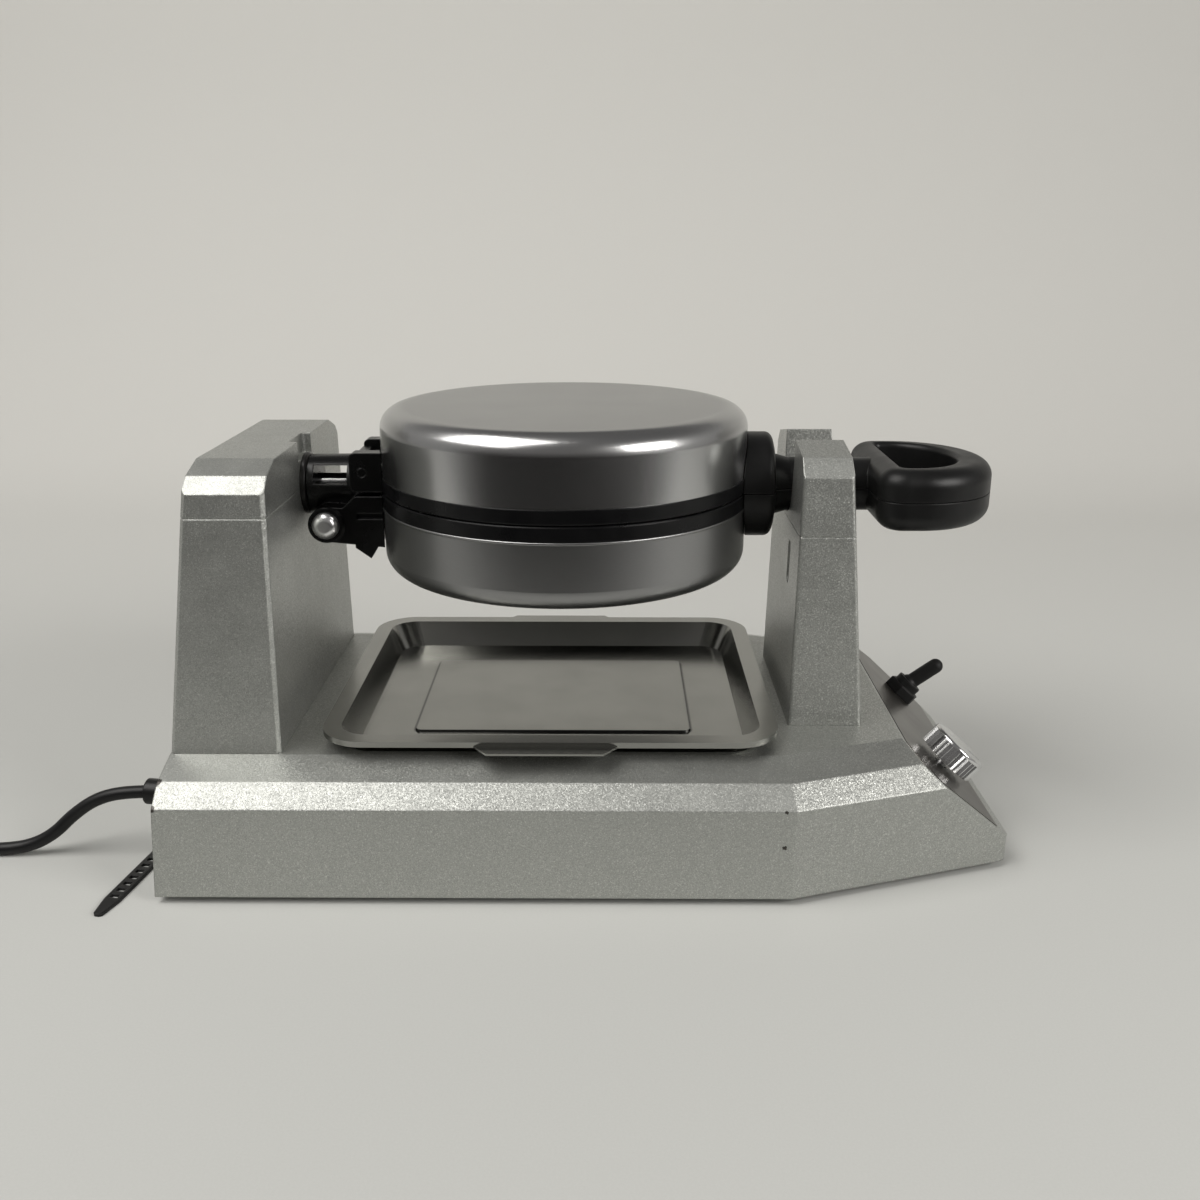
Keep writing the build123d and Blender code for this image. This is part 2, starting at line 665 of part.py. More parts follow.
def waffle_plate():
    """Cast plate: rim, four wedges parted by ribs, and square pegs that taper to the split."""
    floor = GRID_DEPTH + SPLIT
    plate = Pos(0, 0, SPLIT) * Cylinder(RING_IN, GRID_DEPTH + GRID_BACK, align=UP)
    top = RING_IN - GRID_RIM - 3
    cavity = loft([Pos(0, 0, 0) * Circle(RING_IN - GRID_RIM), Pos(0, 0, floor) * Circle(top)])
    plate -= cavity
    pegs = []
    count = int((top - PEG / 2) / PEG_PITCH) + 1
    steps = [(k + 0.5) * PEG_PITCH for k in range(-count, count)]
    for x in steps:
        for y in steps:
            if math.hypot(abs(x) + PEG / 2, abs(y) + PEG / 2) < top - 1:
                square = Plane(origin=(x, y, floor), z_dir=(0, 0, -1)) * Rectangle(PEG, PEG)
                pegs.append(extrude(square, PEG_H, taper=PEG_TAPER))
    plate += pegs
    for turn in (0, 90):
        rib = Plane(origin=(0, 0, floor), z_dir=(0, 0, -1)) * Rot(0, 0, turn) * Rectangle(
            2 * (RING_IN - GRID_RIM) - 1, RIB_T)
        plate += extrude(rib, PEG_H, taper=PEG_TAPER)
    return plate


def element():
    """Tube heater: most of a ring, its two ends turned inwards."""
    gap = math.radians(14)
    start = (ELEMENT_R * math.cos(gap), ELEMENT_R * math.sin(gap))
    ring = CenterArc((0, 0), ELEMENT_R, 14, 332)
    tube = sweep(Plane(origin=ring @ 0, z_dir=ring % 0) * Circle(ELEMENT_D / 2), path=ring)
    for side in (-1, 1):
        at = (start[0], side * start[1], 0)
        tube += Pos(*at) * Sphere(ELEMENT_D / 2)
        tube += rod(at, (start[0] - 16, side * start[1], 0), ELEMENT_D / 2 - 1)
    return tube


def make_half(name, place):
    """Pieces of one half: place puts the split plane on the shaft line."""
    shell = half_shell()
    ring = half_ring()
    screws = []
    for x, y in ring_screw_places():
        hole = Pos(x, y, 0) * Cylinder(RING_SCREW_R, 4 * RING_H)
        shell -= hole
        ring -= hole
        ring -= Pos(x, y, 0) * Cylinder(2 * RING_SCREW_R, 2 * (SPLIT + 1.4))
        pin = Pos(x, y, SPLIT + 1.4) * Cylinder(RING_SCREW_R, RING_H + 1, align=UP)
        head = Pos(x, y, SPLIT + 0.2) * Cylinder(2 * RING_SCREW_R, 1.2, align=UP)
        screws.append(pin + head)
    back = SPLIT + GRID_DEPTH + GRID_BACK
    pad_z = back + ELEMENT_D
    pad = Pos(0, 0, pad_z) * Cylinder(HEAD_R - SHELL_T - 6, PAD_T, align=UP)
    heater = Pos(0, 0, back + ELEMENT_D / 2) * element()
    parts[name + "_shell"] = place * shell
    parts[name + "_ring"] = place * ring
    parts[name + "_waffle_plate"] = place * waffle_plate()
    parts[name + "_element"] = place * heater
    parts[name + "_insulation"] = place * pad
    parts[name + "_ring_screws"] = place * Compound(children=screws)


def make_head():
    up = Pos(HEAD_X, 0, AXIS_Z)
    down = Pos(HEAD_X, 0, AXIS_Z) * Rot(180, 0, 0)
    make_half("upper", up)
    make_half("lower", down)
    lip_z = AXIS_Z - RING_H - LIP_T
    lip = Pos(HEAD_X, 0, lip_z) * Cylinder(LIP_R, LIP_T, align=UP)
    lip = fillet(lip.edges(), 0.7)
    lip -= Pos(HEAD_X, 0, lip_z - 1) * Cylinder(HEAD_R - SHELL_T / 2, 4, align=UP)
    parts["lower_shell"] += lip
    back_z = AXIS_Z - SPLIT - GRID_DEPTH - GRID_BACK
    probe = rod((HEAD_X, -20, back_z - 2.5), (HEAD_X, 26, back_z - 2.5), 2.5)
    parts["temperature_probe"] = probe


# Shaft and hinge at the rear

def head_cut(radius):
    """Cylinder of the head, to trim what meets it."""
    return Pos(HEAD_X, 0, AXIS_Z) * Cylinder(radius, 4 * HEAD_H)


def seat_inside(y):
    """Distance from the head's middle at which a screw head lies inside the curved shell."""
    return math.sqrt((HEAD_R - SHELL_T) ** 2 - (abs(y) + SHELL_SCREW_HEAD) ** 2)


def make_hinge():
    tube = Pos(0, 0, TUBE_X0) * Cylinder(TUBE_R, TUBE_X1 - TUBE_X0, align=UP)
    tube -= Pos(0, 0, TUBE_X0 - 1) * Cylinder(TUBE_BORE, TUBE_X1 - TUBE_X0 + 2, align=UP)
    parts["shaft_tube"] = SHAFT * tube
    washer = Pos(0, 0, BLOCK_X - 0.3 - 2) * Cylinder(15, 2, align=UP)
    nut = extrude(Pos(0, 0, BLOCK_X - 0.3 - 7) * RegularPolygon(11, 6), 5)
    hole = Pos(0, 0, BLOCK_X - 12) * Cylinder(TUBE_R, 14, align=UP)
    parts["stop_washer"] = SHAFT * (washer - hole)
    parts["shaft_nut"] = SHAFT * (nut - hole)

    x0 = TOWER_FRONT + BUSH_FLANGE_T + 0.3
    sleeve = SHAFT * Pos(0, 0, x0) * Cone(SLEEVE_R, SLEEVE_R_HEAD, SLEEVE_END - x0, align=UP)
    sleeve -= block(*WINDOW, -2 * SLEEVE_R, 2 * SLEEVE_R, *WINDOW_Z)

    arm = prism_y([(BOSS_AT[0], BOSS_AT[1] - CROSS_BOSS_R), (ARM_FOOT_X, ARM_BOTTOM),
                   (ARM_INNER_X, ARM_BOTTOM), (ARM_INNER_X, ARM_TOP), (SLEEVE_END, ARM_TOP),
                   ARM_KNEE, (BOSS_AT[0], BOSS_AT[1] + CROSS_BOSS_R)], -ARM_HALF, ARM_HALF)
    boss = rod((BOSS_AT[0], -CROSS_BOSS_HALF, BOSS_AT[1]),
               (BOSS_AT[0], CROSS_BOSS_HALF, BOSS_AT[1]), CROSS_BOSS_R)
    tab = prism_y([(TAB_FOOT_X[0], ARM_BOTTOM + 2), (TAB_FOOT_X[0], ARM_BOTTOM), TAB_AT,
                   (TAB_FOOT_X[1], ARM_BOTTOM), (TAB_FOOT_X[1], ARM_BOTTOM + 2)],
                  -ARM_HALF, -ARM_HALF + TAB_THICK)
    lug = rod((PIN_AT[0], -LUG_HALF, PIN_AT[1]), (PIN_AT[0], LUG_HALF, PIN_AT[1]), LUG_R)
    lug_edge = PIN_AT[0] - LUG_CUT
    lug += prism_y([(SLEEVE_END - 4, ARM_TOP - 1), (SLEEVE_END - 4, LUG_TOP - LUG_R / 2),
                    (SLEEVE_END - 4 + LUG_R / 2, LUG_TOP), (lug_edge, LUG_TOP),
                    (lug_edge, PIN_AT[1]), (PIN_AT[0] + LUG_R, PIN_AT[1]),
                    (PIN_AT[0] + LUG_R, ARM_TOP - 1)], -LUG_HALF, LUG_HALF)
    carrier = sleeve + arm + boss + tab + lug
    for y in (-ARM_HALF, ARM_HALF):
        carrier -= block(SLEEVE_END + 1, ARM_INNER_X, y - RELIEF_DEEP, y + RELIEF_DEEP, *RELIEF_Z)
    carrier -= head_cut(LIP_R)
    carrier -= rod((x0 - 1, 0, AXIS_Z), (TUBE_X1, 0, AXIS_Z), TUBE_R)
    carrier -= rod((BOSS_AT[0], -50, BOSS_AT[1]), (BOSS_AT[0], 50, BOSS_AT[1]), BOLT_R)
    carrier -= rod((PIN_AT[0], -50, PIN_AT[1]), (PIN_AT[0], 50, PIN_AT[1]), PIN_R + RUN_GAP)

    bolt = rod((BOSS_AT[0], -CROSS_BOSS_HALF, BOSS_AT[1]),
               (BOSS_AT[0], CROSS_BOSS_HALF, BOSS_AT[1]), BOLT_R)
    for side in (-1, 1):
        dome = Cylinder(DOME_R, DOME_H, align=UP)
        dome = fillet(dome.edges().group_by(Axis.Z)[-1], DOME_H - 0.4)
        seat = Plane(origin=(BOSS_AT[0], side * CROSS_BOSS_HALF, BOSS_AT[1]), z_dir=(0, side, 0))
        bolt += seat * dome
    parts["cross_bolt"] = bolt

    ear_in = LUG_HALF + EAR_GAP
    left = PIN_AT[0] - EAR_REACH
    bottom = AXIS_Z + 0.3
    profile = face_of([(left, bottom), (ARM_INNER_X, bottom), (ARM_INNER_X, EAR_TOP),
                       (left, EAR_TOP)])
    profile = fillet(profile.vertices().group_by(Axis.X)[0], EAR_ROUND)
    bracket = extrude(Plane.XZ.offset(-ARM_HALF) * profile, 2 * ARM_HALF)
    web = PIN_AT[0] + LUG_R + RUN_CLEAR
    bracket -= block(left - 1, web, -ear_in, ear_in, bottom - 1, EAR_TOP + 1)
    bracket -= block(web - 1, ARM_INNER_X + 1, -ear_in, ear_in, PIN_AT[1], EAR_TOP + 1)
    bracket -= head_cut(RING_R)
    bracket -= rod((PIN_AT[0], -50, PIN_AT[1]), (PIN_AT[0], 50, PIN_AT[1]), PIN_R)
    parts["upper_hinge_bracket"] = bracket
    parts["lid_hinge_pin"] = rod((PIN_AT[0], -ARM_HALF, PIN_AT[1]),
                                 (PIN_AT[0], ARM_HALF, PIN_AT[1]), PIN_R)

    for name, y, z in (("carrier_screws", 12, ARM_BOTTOM + 12), ("bracket_screws", 21, AXIS_Z + 13)):
        bodies = []
        for side in (-1, 1):
            edge = HEAD_X - seat_inside(y)
            bodies.append(screw((edge, side * y, z), (-1, 0, 0), 8, SCREW_R, SHELL_SCREW_HEAD, 2.0))
            hole = rod((edge + 1, side * y, z), (edge - 8, side * y, z), SCREW_R)
            if name == "carrier_screws":
                carrier -= hole
                parts["lower_shell"] -= hole
            else:
                parts["upper_hinge_bracket"] -= hole
                parts["upper_shell"] -= hole
        parts[name] = Compound(children=bodies)
    parts["hinge_carrier"] = carrier


# Handle halves

def handle_form():
    """Whole handle about the shaft line: flange, neck and loop."""
    flange = Pos(0, 0, 60) * Cylinder(FLANGE_R, FLANGE_X - 60, align=UP)
    flange = fillet(flange.edges().group_by(Axis.Z)[-1], FLANGE_ROUND)
    neck = Pos(0, 0, FLANGE_X) * Cone(CONE_R, JOURNAL_R, CONE_X - FLANGE_X, align=UP)
    neck += Pos(0, 0, CONE_X) * Cylinder(JOURNAL_R, HOLE_X0 - CONE_X - 3, align=UP)
    middle = LOOP_X1 - 46
    bow = EllipticalCenterArc((middle, 0), LOOP_X1 - middle, LOOP_HALF, -90, arc_size=180)
    back = Polyline(
        [(middle, LOOP_HALF), (LOOP_X0, LOOP_HALF), (LOOP_X0, -LOOP_HALF), (middle, -LOOP_HALF)])
    outline = make_face([bow, back])
    corners = outline.vertices().group_by(Axis.X)[0]
    outline = fillet(corners, LOOP_CORNER)
    eye_mid = HOLE_X0 + 6
    eye_bow = EllipticalCenterArc((eye_mid, 0), HOLE_X1 - eye_mid, HOLE_HALF, -90, arc_size=180)
    eye_back = Polyline(
        [(eye_mid, HOLE_HALF), (HOLE_X0, HOLE_HALF), (HOLE_X0, -HOLE_HALF), (eye_mid, -HOLE_HALF)])
    eye = make_face([eye_bow, eye_back])
    eye = fillet(eye.vertices().group_by(Axis.X)[0], 4)
    loop = extrude(Pos(0, 0, -LOOP_H / 2) * outline, LOOP_H)
    loop = fillet(loop.edges().group_by(Axis.Z)[0] + loop.edges().group_by(Axis.Z)[-1], LOOP_ROUND)
    hole = extrude(Pos(0, 0, -LOOP_H) * eye, 2 * LOOP_H)
    loop -= hole
    rims = loop.edges().filter_by(
        lambda e: abs(abs(e.center().Z) - LOOP_H / 2) < 0.1 and e.center().X < HOLE_X1
        and abs(e.center().Y) < HOLE_HALF + 1 and e.center().X > HOLE_X0 - 1)
    loop = fillet(rims, EYE_ROUND)
    return SHAFT * (flange + neck) + Pos(0, 0, AXIS_Z) * loop


def make_handles():
    form = handle_form()
    reach = 300
    for name, side, cut in (("upper_handle", 1, RING_R), ("lower_handle", -1, LIP_R)):
        whole = form - head_cut(cut)
        z0 = AXIS_Z + side * SPLIT
        z1 = AXIS_Z + side * 60
        half = whole & block(0, reach, -reach, reach, min(z0, z1), max(z0, z1))
        shell = name.replace("handle", "shell")
        bodies = []
        for y in (-HANDLE_SCREW_Y, HANDLE_SCREW_Y):
            z = AXIS_Z + side * HANDLE_SCREW_Z
            edge = HEAD_X + seat_inside(y)
            bodies.append(screw((edge, y, z), (1, 0, 0), 12, SCREW_R, SHELL_SCREW_HEAD, 2.0))
            hole = rod((edge - 1, y, z), (edge + 12, y, z), SCREW_R)
            half -= hole
            parts[shell] -= hole
        parts[name] = half
        parts[name + "_screws"] = Compound(children=bodies)


# Controls on the slope

def make_controls():
    insert = SLOPE * Pos(0, 0, -PANEL_SINK) * extrude(panel_face(PANEL_RIM + 0.2, PANEL_FOOT + 0.2),
                                                      PANEL_T)
    parts["control_panel"] = insert - control_holes(8)

    at_knob = SLOPE * Pos(CONTROL_U, KNOB_Y, 0)
    surface = PANEL_T - PANEL_SINK
    body = Cylinder(KNOB_R, KNOB_H, align=UP)
    body = fillet(body.edges().group_by(Axis.Z)[-1], 1.6)
    grooves = []
    for k in range(KNOB_RIDGES):
        turn = Rot(0, 0, 360 / KNOB_RIDGES * k)
        grooves.append(turn * Pos(KNOB_R, 0, -1) * Rot(0, 0, 45) * Box(
            RIDGE_CUT, RIDGE_CUT, KNOB_H - 1, align=UP))
    body -= grooves
    body -= Pos(0, 0, -1) * Cylinder(KNOB_R - KNOB_WALL, KNOB_HOLLOW + 1, align=UP)
    body += Cylinder(KNOB_HUB_R, KNOB_HOLLOW + 1, align=UP)
    body -= Pos(0, 0, -1) * Cylinder(SPINDLE_R, SPINDLE_IN + 1, align=UP)
    mark = Pos(KNOB_R * 0.62, 0, KNOB_H - 0.6) * Box(KNOB_R * 0.5, 1.2, 2, align=UP)
    body -= mark
    lift = surface + KNOB_LIFT
    parts["control_knob"] = at_knob * Pos(0, 0, lift) * body
    parts["thermostat_spindle"] = at_knob * Pos(0, 0, -CASE_DROP) * Cylinder(
        SPINDLE_R, CASE_DROP + lift + SPINDLE_IN, align=UP)
    case = Pos(0, 0, -CASE_DROP - CASE_H) * Cylinder(CASE_R, CASE_H, align=UP)
    bracket = Pos(0, 0, -CASE_DROP) * Box(*BRACKET, CASE_DROP - BASE_WALL, align=UP)
    bracket -= Pos(0, 0, -CASE_DROP) * Cylinder(SPINDLE_R + RUN_CLEAR, CASE_DROP, align=UP)
    parts["thermostat_body"] = at_knob * (case + bracket)

    at_switch = SLOPE * Pos(CONTROL_U, SWITCH_Y, 0)
    nut = extrude(Pos(0, 0, surface) * RegularPolygon(NUT_AF / math.sqrt(3), 6), NUT_T)
    nut = chamfer(nut.edges().group_by(Axis.Z)[-1], THREAD)
    collar = Pos(0, 0, surface + NUT_T) * Cylinder(COLLAR_R, COLLAR_T, align=UP)
    nut += fillet(collar.edges().group_by(Axis.Z)[-1], THREAD)
    socket = Pos(0, 0, SWITCH_PIVOT) * Sphere(BALL_R + BALL_GAP)
    throat = Pos(0, 0, SWITCH_PIVOT) * Cone(BOOT_R + 1, BALL_R + 1, BALL_R, align=UP)
    nut -= socket + throat
    bush_r = COLLAR_R - THREAD
    nut -= Cylinder(bush_r, SWITCH_PIVOT, align=UP)
    parts["switch_nut"] = at_switch * nut
    frame = Pos(0, 0, -FRAME_LOW) * Box(*FRAME, FRAME_LOW - BASE_WALL, align=UP)
    frame += Pos(0, 0, -BASE_WALL - 1) * Cylinder(bush_r, BASE_WALL + 1 + SWITCH_PIVOT, align=UP)
    frame -= Pos(0, 0, -BALL_R) * Cylinder(2 * LEVER_R, SWITCH_PIVOT, align=UP)
    frame -= socket
    for k in (-TERMINAL_PITCH, 0, TERMINAL_PITCH):
        frame += Pos(k, 0, -FRAME_LOW - TERMINAL[2]) * Box(*TERMINAL, align=UP)
    parts["switch_body"] = at_switch * frame

    lean = Pos(0, 0, SWITCH_PIVOT) * Rot(0, SWITCH_LEAN, 0)
    lever = Pos(0, 0, -BALL_R) * Cylinder(LEVER_R, BALL_R + LEVER_LEN - LEVER_SHORT, align=UP)
    boot = Sphere(BALL_R) + Cylinder(BOOT_R, LEVER_LEN - BOOT_R, align=UP)
    boot += Pos(0, 0, LEVER_LEN - BOOT_R) * Sphere(BOOT_R)
    boot -= Pos(0, 0, -BALL_R) * Cylinder(LEVER_R, BALL_R + LEVER_LEN - LEVER_SHORT, align=UP)
    parts["switch_lever"] = at_switch * lean * lever
    parts["switch_boot"] = at_switch * lean * boot

    block_at = Pos(-190, CORD_Y + 25, PLATE_TOP)
    strip = Box(22, 48, 16, align=UP)
    for k in range(4):
        strip -= Pos(0, -18 + 12 * k, 12) * Cylinder(3, 6, align=UP)
    parts["terminal_block"] = block_at * strip


# Cord, its tie, coil and plug

def cord_radii(points):
    """Bend radius at each corner of the route, 0.45 of the shorter run beside it."""
    radii = []
    for a, b, c in zip(points, points[1:], points[2:]):
        way_in = Vector(*b) - Vector(*a)
        way_out = Vector(*c) - Vector(*b)
        turn = math.radians(way_in.get_angle(way_out))
        radii.append(0.45 * min(way_in.length, way_out.length) / math.tan(turn / 2))
    return radii


def tube_along(path, radius):
    """Round tube along a smooth path."""
    return sweep(Plane(origin=path @ 0, z_dir=path % 0) * Circle(radius), path=path)


def coil_path():
    """Half turns: inwards below, one that climbs a layer, outwards above, then a straight tail."""
    x, y, z = CORD_LEAD[-1]
    x -= CORD_D
    edges = [Line(CORD_LEAD[-1], (x, y, z))]
    middle = y - COIL_R
    radius = COIL_R
    side = 1
    for k in range(2 * COIL_HALF_TURNS):
        climb = 0.0
        step = -COIL_PITCH / 2
        if k == COIL_HALF_TURNS:
            climb = COIL_PITCH
            step = 0.0
        if k > COIL_HALF_TURNS:
            step = COIL_PITCH / 2
        end = (x, middle - side * (radius + step), z + climb)
        edges.append(TangentArc((x, middle + side * radius, z), end, tangent=(-side, 0, 0)))
        radius += step
        z += climb
        side = -side
    last = edges[-1] @ 1
    edges.append(Line(last, last - Vector(COIL_TAIL, 0, 0)))
    return Wire(edges)


def coil_gap(path):
    """Least distance between stretches of the coil that are not neighbours, less its diameter."""
    count = 600
    points = [path @ (k / count) for k in range(count + 1)]
    near = int(count * 60 / path.length)
    least = min((points[i] - points[j]).length
                for i in range(count + 1) for j in range(i + near, count + 1))
    return least - CORD_D


def make_tie():
    """Perforated strap: looped round the cord, down behind it and forward along the table."""
    way = Vector(TIE_TIP[0] - TIE_AT[0], TIE_TIP[1] - TIE_AT[1], 0)
    length = way.length
    plane = Plane(origin=(TIE_AT[0], TIE_AT[1], 0), x_dir=way, z_dir=way.cross(Vector(0, 0, 1)))
    outer = TIE_LOOP_R + TIE_T
    side = Pos(0, CORD_Z) * Circle(outer)
    side += Pos(-TIE_LOOP_R - TIE_T / 2, (CORD_Z + TIE_BEND) / 2) * Rectangle(
        TIE_T, CORD_Z - TIE_BEND)
    centre = (-outer + TIE_BEND, TIE_BEND)
    corner = Pos(*centre) * (Circle(TIE_BEND) - Circle(TIE_BEND - TIE_T))
    side += corner & Pos(centre[0] - TIE_BEND / 2, TIE_BEND / 2) * Rectangle(TIE_BEND, TIE_BEND)
    side += Pos((centre[0] + length) / 2, TIE_T / 2) * Rectangle(length - centre[0], TIE_T)
    side -= Pos(0, CORD_Z) * Circle(TIE_LOOP_R)
    band = extrude(plane * side, TIE_W / 2, both=True)
    flat = Plane(origin=(TIE_AT[0], TIE_AT[1], 0), x_dir=way)
    tip = face_of([(-20, -TIE_W / 2), (length - 14, -TIE_W / 2), (length, -TIE_W / 4),
                   (length, TIE_W / 4), (length - 14, TIE_W / 2), (-20, TIE_W / 2)])
    tip = fillet(tip.vertices().group_by(Axis.X)[-1], TIE_W / 5)
    band &= extrude(flat * tip, CORD_Z + 2 * outer)
    for k in range(TIE_HOLES):
        hole = Pos(length - 17 - k * TIE_PITCH, 0) * Rectangle(TIE_HOLE[1], TIE_HOLE[0])
        band -= extrude(flat * hole, 2 * TIE_T)
    parts["cord_tie"] = band


def make_cord():
    wall_x = BASE_REAR + REAR_LEAN * (CORD_Z - FOOT_H) / (BASE_TOP - FOOT_H)
    inside = wall_x + BASE_WALL + RELIEF_SEAT
    collar = rod((inside, CORD_Y, CORD_Z), (inside + 3, CORD_Y, CORD_Z), RELIEF_COLLAR)
    neck = rod((wall_x - 1, CORD_Y, CORD_Z), (inside, CORD_Y, CORD_Z), RELIEF_NECK)
    taper = Plane(origin=(wall_x - 1, CORD_Y, CORD_Z), z_dir=(-1, 0, 0)) * Cone(
        RELIEF_NECK, RELIEF_END, wall_x - 1 - CORD_LEAD[0][0], align=UP)
    parts["strain_relief"] = collar + neck + taper

    radii = cord_radii(CORD_LEAD)
    print("cord bend radii", [round(r, 1) for r in radii])
    lead_path = FilletPolyline(*CORD_LEAD, radius=radii)
    lead = tube_along(lead_path, CORD_D / 2)
    print("lead length", round(lead_path.length, 1), "volume over section times length",
          round(lead.volume / (math.pi * CORD_D ** 2 / 4 * lead_path.length), 4))
    parts["cord_lead"] = lead

    path = coil_path()
    coil = tube_along(path, CORD_D / 2)
    print("coil length", round(path.length, 1), "least gap", round(coil_gap(path), 2),
          "volume ratio", round(coil.volume / (math.pi * CORD_D ** 2 / 4 * path.length), 4))
    parts["cord_coil"] = coil

    end = path @ 1
    tail = Plane(origin=end, z_dir=(-1, 0, 0), x_dir=(0, 1, 0))
    tall = 2 * end.Z
    body = loft([tail * Circle(CORD_D / 2 + 1.5),
                 tail * Pos(0, 0, PLUG_LEN / 2) * RectangleRounded(PLUG_W, tall, 5)])
    body += extrude(tail * Pos(0, 0, PLUG_LEN / 2) * RectangleRounded(PLUG_W, tall, 5),
                    PLUG_LEN / 2)
    parts["plug_body"] = body
    front = end.X - PLUG_LEN
    blades = []
    blade_z = end.Z + EARTH_DROP / 3
    for side in (-1, 1):
        y = end.Y + side * BLADE_APART / 2
        blades.append(block(front - BLADE[0], front, y - BLADE[1] / 2, y + BLADE[1] / 2,
                            blade_z - BLADE[2] / 2, blade_z + BLADE[2] / 2))
    earth_z = blade_z - EARTH_DROP
    blades.append(rod((front, end.Y, earth_z), (front - BLADE[0] - 2, end.Y, earth_z), EARTH_R))
    parts["plug_blades"] = Compound(children=blades)


for job in (make_base, make_tower, make_yoke, make_tray, make_head, make_hinge, make_handles,
            make_controls, make_tie, make_cord):
    job()

os.makedirs("parts", exist_ok=True)
for node, shape in parts.items():
    export_step(shape, "parts/" + node + ".step")
print(len(parts), "nodes")
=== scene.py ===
import json
import math

import bpy
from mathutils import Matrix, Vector


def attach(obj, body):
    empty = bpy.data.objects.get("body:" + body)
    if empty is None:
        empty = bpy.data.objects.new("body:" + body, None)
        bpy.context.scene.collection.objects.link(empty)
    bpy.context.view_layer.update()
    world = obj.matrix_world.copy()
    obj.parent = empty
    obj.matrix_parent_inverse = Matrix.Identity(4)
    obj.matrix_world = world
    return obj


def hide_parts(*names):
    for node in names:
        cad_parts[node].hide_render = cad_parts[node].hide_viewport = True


# Rotary waffle maker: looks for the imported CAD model. Metres, in the CAD's own frame.

# Camera, worked out from the photograph's edges and vanishing lines
CAMERA_AT = (0.0073, -0.657, 0.3316)
CAMERA_DOWN = 17.6
CAMERA_TURN = 0.38
LENS = 36.0
SENSOR = 36.0

# Cord: the route's points, as in the CAD, and the coil it ends in
CORD_D = 0.007
CORD_LEAD = [
    (-0.2370, -0.0700, 0.0360), (-0.2530, -0.0700, 0.0360), (-0.2694, -0.0708, 0.0324),
    (-0.2834, -0.0720, 0.0228), (-0.2938, -0.0732, 0.0124), (-0.3066, -0.0742, 0.0056),
    (-0.3210, -0.0750, 0.0035), (-0.3440, -0.0756, 0.0035), (-0.3670, -0.0756, 0.0035),
]
COIL_R = 0.052
COIL_PITCH = 0.009
COIL_HALF_TURNS = 5
COIL_TAIL = 0.052
COIL_POINTS = 8

# Lamps: where each stands, its size and its power
LAMPS = {
    "key": ((-1.05, -0.60, 1.78), 1.5, 35.0),
    "fill": ((1.50, -1.05, 0.95), 0.9, 24.0),
}
LAMP_TINT = (1.0, 0.98, 0.95)
AIM = Vector((0.0, 0.0, 0.10))

# Light of the room, and between which directions it fades to the front's, the top's and the dark
WORLD_STRENGTH = 0.50
ROOM = (0.66, 0.65, 0.63)
ROOM_FRONT = (0.34, 0.33, 0.32)
ROOM_HIGH = (0.30, 0.295, 0.29)
ROOM_DARK = (0.04, 0.038, 0.036)
TO_FRONT = (-0.25, -0.75)
TO_HIGH = (0.35, 0.75)
TO_DARK = (0.15, -0.05)

# Table top and the wall it curves up into; its tone goes from near to far, as painted shade that
# darkens the table's front
TABLE_FRONT = -0.42
WALL_Y = 1.3
WALL_BEND = 0.6
WALL_TOP = 1.15
BEND_STEPS = 16
BACKDROP = 4.0
NEAR_SHADED_TONES = ((0.50, 0.505, 0.485), (0.54, 0.545, 0.525))
FAR_TONES = ((0.66, 0.655, 0.625), (0.70, 0.695, 0.665))
FAR_FROM = 0.9

# Paint: flakes per metre and their lean, and the chips worn off it, each a place and a radius
FLAKES = 2300.0
FLAKE_LEAN = 0.25
CHIPS = [
    ((-0.2179, -0.1137, 0.0633), 0.0020), ((-0.2186, -0.1240, 0.0530), 0.0017),
    ((0.0960, -0.1240, 0.0526), 0.0009), ((0.0958, -0.1240, 0.0330), 0.0010),
]
CHIP_TONE = (0.06, 0.055, 0.05)
EDGE = 0.0011
EDGE_SAMPLES = 6

# Shells: the head's middle, the brushing round it, and painted shade that makes the flat ends
# darker than the walls
HEAD_MIDDLE = (-0.0166, 0.0, 0.1915)
BRUSH_LINES = 2600.0
BRUSH_STRETCH = 0.012
FLAT_R = 0.086
RIM_R = 0.094
FLAT_PAINTED_SHADE = 0.42

# Raised middle of the tray: its centre, half its size less the corners, and the width of the
# painted shade line round it
STEP_ROUND = 0.004
STEP_MIDDLE = (-0.0225, 0.0, 0.065)
STEP_HALF = (0.0755 - STEP_ROUND, 0.055 - STEP_ROUND, 0.02)
STEP_SHADE_WIDTH = 0.0012

# Nodes that look unlike the rest of their slot: the lower shell gets a darker copy of the shell
# steel, as painted shade
LOOK = {"lower_shell": "lower_shell_shaded_steel", "cross_bolt": "bolt_steel"}

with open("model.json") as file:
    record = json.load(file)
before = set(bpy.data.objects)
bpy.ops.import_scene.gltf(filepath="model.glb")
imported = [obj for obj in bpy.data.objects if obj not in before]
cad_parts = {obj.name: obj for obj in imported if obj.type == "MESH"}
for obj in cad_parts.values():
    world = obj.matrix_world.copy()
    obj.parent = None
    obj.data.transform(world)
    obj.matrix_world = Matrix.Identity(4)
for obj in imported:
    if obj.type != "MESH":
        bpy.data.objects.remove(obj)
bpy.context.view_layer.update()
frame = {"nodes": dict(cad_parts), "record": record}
nodes = frame["nodes"]
scene = bpy.context.scene


# Camera

def make_camera():
    data = bpy.data.cameras.new("camera")
    data.lens = LENS
    data.sensor_width = SENSOR
    data.sensor_fit = "HORIZONTAL"
    camera = bpy.data.objects.new("camera", data)
    camera.location = CAMERA_AT
    camera.rotation_euler = (math.radians(90 - CAMERA_DOWN), 0, math.radians(CAMERA_TURN))
    scene.collection.objects.link(camera)
    scene.camera = camera


# Short ways to write shader nodes

def rgb(value):
    """Grey or colour as the four numbers that a colour socket takes."""
    if isinstance(value, (int, float)):
        value = (value, value, value)
    return (*value, 1.0)


